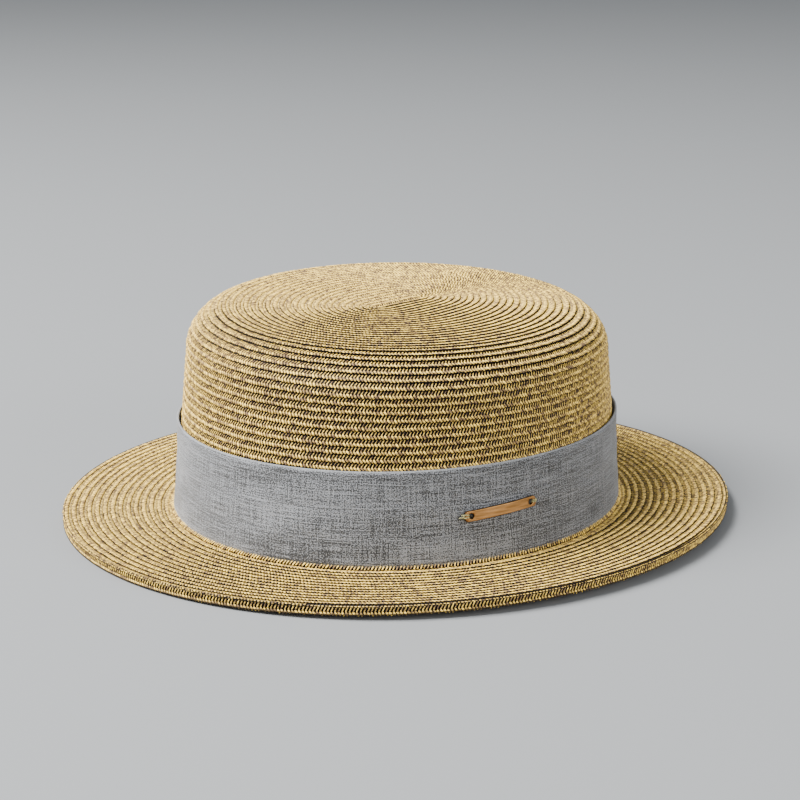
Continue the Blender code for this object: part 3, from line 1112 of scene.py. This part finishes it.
def band_point(angle, rise, proud):
    """A point over the band's outer face, pushed out along the face's own normal."""
    across = side_radius(rise) + BAND_GAP + BAND_WALL
    along = across + OVAL_STRETCH
    x, y = across * math.cos(angle), along * math.sin(angle)
    nx, ny = math.cos(angle) / across, math.sin(angle) / along
    size = math.hypot(nx, ny) * math.hypot(1.0, SIDE_TAPER)
    lift = proud * SIDE_TAPER / math.hypot(1.0, SIDE_TAPER)
    return Vector((x + proud * nx / size, y + proud * ny / size, rise + BRIM_TOP + lift))


def on_band(x, y, out):
    """A point of the bar's flat plate, laid on the band; out is from the band's face."""
    along = x * math.cos(BAR_TILT) - y * math.sin(BAR_TILT)
    up = x * math.sin(BAR_TILT) + y * math.cos(BAR_TILT)
    radius = side_radius(BAR_RISE) + BAND_GAP + BAND_WALL
    angle = BAR_AT
    for _ in range(BAR_BENDS):
        speed = math.hypot(radius * math.sin(angle), (radius + OVAL_STRETCH) * math.cos(angle))
        angle += along / BAR_BENDS / speed
    return band_point(angle, BAR_RISE + up, out)


def metal_material():
    """Rose gold, brushed along its length, with painted shade on its bevels, sides and hole walls."""
    material, tree, shader = principled("rose_gold")
    place = object_place(tree)
    brushed = noise(tree, scaled(tree, place, METAL_BRUSHING), 1.0, 3.0)
    fine = noise(tree, place, METAL_GRAIN)
    colour = mix_colour(tree, map_range(tree, brushed, *NOISE_BODY), METAL_DARK, METAL_LIGHT)
    # Painted shade: all but the bar's front face take the dark colour
    colour = mix_colour(tree, read_attribute(tree, "front"), METAL_PAINTED_SHADE, colour)
    rough = roughness(tree, fine, 0.28, 0.45)
    feed(tree, shader, {"Base Color": colour, "Roughness": rough, "Metallic": 1.0})
    add_bump(tree, shader, fine, METAL_BUMP)
    return material


def make_bar():
    """The metal bar, bent to lie on the band."""
    mesh = bar_plate()
    work = bmesh.new()
    work.from_mesh(mesh)
    bmesh.ops.remove_doubles(work, verts=work.verts, dist=SAME_PLACE)
    for cut in range(1, BAR_BENDS):
        place = ((cut / BAR_BENDS - 0.5) * BAR_LENGTH, 0, 0)
        parts = work.verts[:] + work.edges[:] + work.faces[:]
        bmesh.ops.bisect_plane(work, geom=parts, dist=SAME_PLACE, plane_co=place, plane_no=(1, 0, 0))
    # Only the front face is left unshaded; the bar's bevels, sides and hole walls get painted shade
    level = BAR_WALL / 2 - BAR_BEVEL / 10
    front = [float(vert.co.z > level) for vert in work.verts]
    for vert in work.verts:
        x, y, out = vert.co
        vert.co = on_band(x, y, BAND_GAP + BAR_WALL / 2 + out)
    bmesh.ops.recalc_face_normals(work, faces=work.faces)
    work.to_mesh(mesh)
    work.free()
    add_numbers(mesh, "front", front)
    mesh.materials.append(metal_material())
    mesh.shade_smooth()
    mesh.set_sharp_from_angle(angle=SHARP_ANGLE)
    add_piece("bar_metal", mesh, ["metal_bar"])


def thread_material(name, dark, light):
    """Sewing thread, darker between its turns."""
    material, tree, shader = principled(name)
    place = object_place(tree)
    fuzz = noise(tree, place, THREAD_FUZZ)
    colour = mix_colour(tree, map_range(tree, fuzz, *NOISE_BODY), dark, light)
    feed(tree, shader, {"Base Color": colour, "Roughness": roughness(tree, fuzz, 0.8, 0.55)})
    add_bump(tree, shader, fuzz, THREAD_BUMP)
    return material


def make_thread(name, runs, radius, material):
    """Runs of thread on the bar, as one piece."""
    curve = new_curve(name, "3D", radius)
    curve.use_fill_caps = True
    curve.resolution_u = THREAD_STEPS
    for run in runs:
        spline = add_spline(curve, "NURBS", [on_band(*(part * MM for part in point)) for point in run])
        spline.order_u = 3
        spline.use_endpoint_u = True
    mesh = curve_mesh(name, curve)
    mesh.materials.append(material)
    mesh.shade_smooth()
    add_piece(name, mesh)


def make_threads():
    """The thread that ties the bar to the band, and dark thread knots that fill its holes with painted
    shade.
    """
    olive = thread_material("olive_thread", *OLIVE_COLOURS)
    dark = thread_material("hole_shade_thread", *HOLE_SHADE_THREAD_COLOURS)
    make_thread("bar_thread", THREAD_RUNS, THREAD_RADIUS, olive)
    make_thread("bar_knots", HOLE_SHADE_KNOT_RUNS, HOLE_SHADE_KNOT_RADIUS, dark)


def view_axes():
    """The camera's place and its right, up and forward ways."""
    level = math.cos(CAMERA_ELEVATION)
    place = Vector((
        math.sin(CAMERA_AZIMUTH) * level, -math.cos(CAMERA_AZIMUTH) * level, math.sin(CAMERA_ELEVATION)
    ))
    forward = -place
    right = forward.cross(Vector((0, 0, 1))).normalized()
    up = right.cross(forward)
    forward = forward * math.cos(CAMERA_PITCH) + up * math.sin(CAMERA_PITCH)
    forward = (forward + right * CAMERA_YAW).normalized()
    right = forward.cross(Vector((0, 0, 1))).normalized()
    up = right.cross(forward)
    turned = right * math.cos(CAMERA_ROLL) + up * math.sin(CAMERA_ROLL)
    return place * CAMERA_DISTANCE, turned, turned.cross(forward), forward


def add_camera():
    """The camera at the photograph's angle."""
    place, right, up, forward = view_axes()
    data = bpy.data.cameras.new("camera")
    data.lens = CAMERA_LENS
    data.sensor_width = SENSOR_WIDTH
    camera = bpy.data.objects.new("camera", data)
    show(camera)
    turn = Matrix((right, up, -forward)).transposed().to_4x4()
    camera.matrix_world = Matrix.Translation(place) @ turn
    bpy.context.scene.camera = camera


def add_area(name, place, size, power):
    """A soft square light that faces the hat.

    Its place is how far it is from the hat to the camera's right, away from the camera and up.
    """
    right, forward, up = place
    ahead = Vector((-math.sin(CAMERA_AZIMUTH), math.cos(CAMERA_AZIMUTH), 0))
    aside = Vector((math.cos(CAMERA_AZIMUTH), math.sin(CAMERA_AZIMUTH), 0))
    data = bpy.data.lights.new(name, "AREA")
    data.size, data.energy = size, power
    light = bpy.data.objects.new(name, data)
    show(light)
    light.location = aside * right + ahead * forward + Vector((0, 0, up))
    light.rotation_mode = "QUATERNION"
    light.rotation_quaternion = (-light.location).to_track_quat("-Z", "Y")


def add_studio():
    """A pale floor and soft light."""
    mesh = bpy.data.meshes.new("floor")
    corners = [(x * FLOOR_REACH, y * FLOOR_REACH, 0) for x, y in ((-1, -1), (1, -1), (1, 1), (-1, 1))]
    mesh.from_pydata(corners, [], [(0, 1, 2, 3)])
    material, tree, shader = principled("floor")
    feed(tree, shader, {"Base Color": FLOOR_COLOUR, "Roughness": FLOOR_ROUGHNESS})
    mesh.materials.append(material)
    floor = bpy.data.objects.new("floor", mesh)
    show(floor)
    for light in LIGHTS:
        add_area(*light)
    world = bpy.data.worlds.new("studio")
    world.use_nodes = True
    sky = world.node_tree
    feed(sky, sky.nodes["Background"], {"Color": SKY_COLOUR, "Strength": SKY_STRENGTH})
    bpy.context.scene.world = world


make_straw()
make_band()
make_bar()
make_threads()
add_camera()
add_studio()
